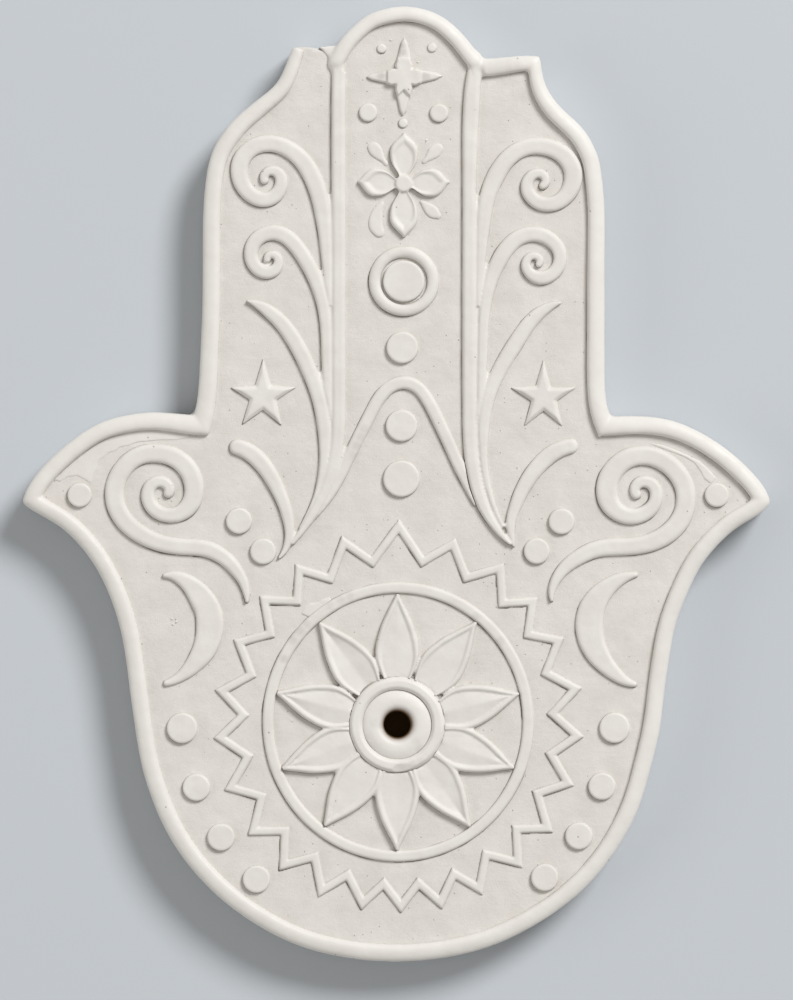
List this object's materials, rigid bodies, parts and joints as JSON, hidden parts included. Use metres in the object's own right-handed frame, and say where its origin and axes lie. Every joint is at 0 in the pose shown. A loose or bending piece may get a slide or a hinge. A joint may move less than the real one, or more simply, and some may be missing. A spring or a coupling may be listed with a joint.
{
  "type": "hamsa hand incense stick holder",
  "caption": "Flat ceramic hand-shaped ornament with raised coil rim, scrolls, stars and a petalled medallion round a small cup that holds an incense stick.",
  "frame": {"origin": "centre of the bounding box, on the flat back that the ornament rests on", "axes": "+X to the right thumb, +Y towards the fingertips, +Z out of the decorated face"},
  "size_m": [0.1126, 0.1434, 0.0084],
  "materials": {
    "clay_slab": "matte, unglazed white stoneware",
    "clay_rim": "satin, burnished unglazed white stoneware",
    "clay_cup": "satin, burnished, brown soot in the bore",
    "clay_coil": "matte, unglazed white stoneware",
    "clay_sprig": "matte, unglazed white stoneware",
    "clay_petal": "matte, unglazed white stoneware"
  },
  "bodies": {
    "root": {"hand_slab": "clay_slab", "rim_finger_arch": "clay_rim", "rim_right_fingertip": "clay_rim", "rim_right_finger": "clay_rim", "rim_right_thumb": "clay_rim", "rim_palm": "clay_rim", "rim_left_thumb": "clay_rim", "rim_left_finger": "clay_rim", "stick_cup": "clay_cup", "collar_ring": "clay_cup", "finger_rib_left": "clay_coil", "finger_rib_right": "clay_coil", "palm_arch": "clay_coil", "blade_left": "clay_coil", "blade_right": "clay_coil", "lower_scroll_left": "clay_coil", "lower_scroll_right": "clay_coil", "upper_scroll_left": "clay_coil", "upper_scroll_right": "clay_coil", "sprout_left": "clay_coil", "sprout_right": "clay_coil", "thumb_volute_left": "clay_coil", "thumb_volute_right": "clay_coil", "medallion_ring": "clay_coil", "target_ring": "clay_coil", "sun_zigzag": "clay_coil", "crescent_left": "clay_sprig", "crescent_right": "clay_sprig", "palm_star_left": "clay_sprig", "palm_star_right": "clay_sprig", "fingertip_star": "clay_sprig", "fingertip_cross": "clay_sprig", "edge_dots_left": "clay_sprig", "edge_dots_right": "clay_sprig", "palm_dots_left": "clay_sprig", "palm_dots_right": "clay_sprig", "thumb_dot_left": "clay_sprig", "thumb_dot_right": "clay_sprig", "centre_dot_upper": "clay_sprig", "centre_dot_middle": "clay_sprig", "centre_dot_lower": "clay_sprig", "fingertip_dots": "clay_sprig", "fingertip_crumbs": "clay_sprig", "target_disc": "clay_sprig", "rosette_petal_01": "clay_petal", "rosette_petal_02": "clay_petal", "rosette_petal_03": "clay_petal", "rosette_petal_04": "clay_petal", "rosette_petal_05": "clay_petal", "rosette_petal_06": "clay_petal", "rosette_petal_07": "clay_petal", "rosette_petal_08": "clay_petal", "rosette_petal_09": "clay_petal", "rosette_petal_10": "clay_petal", "flower_petal_top": "clay_petal", "flower_petal_right": "clay_petal", "flower_petal_bottom": "clay_petal", "flower_petal_left": "clay_petal", "flower_button": "clay_petal", "flower_buds": "clay_petal"}
  },
  "joints": []
}
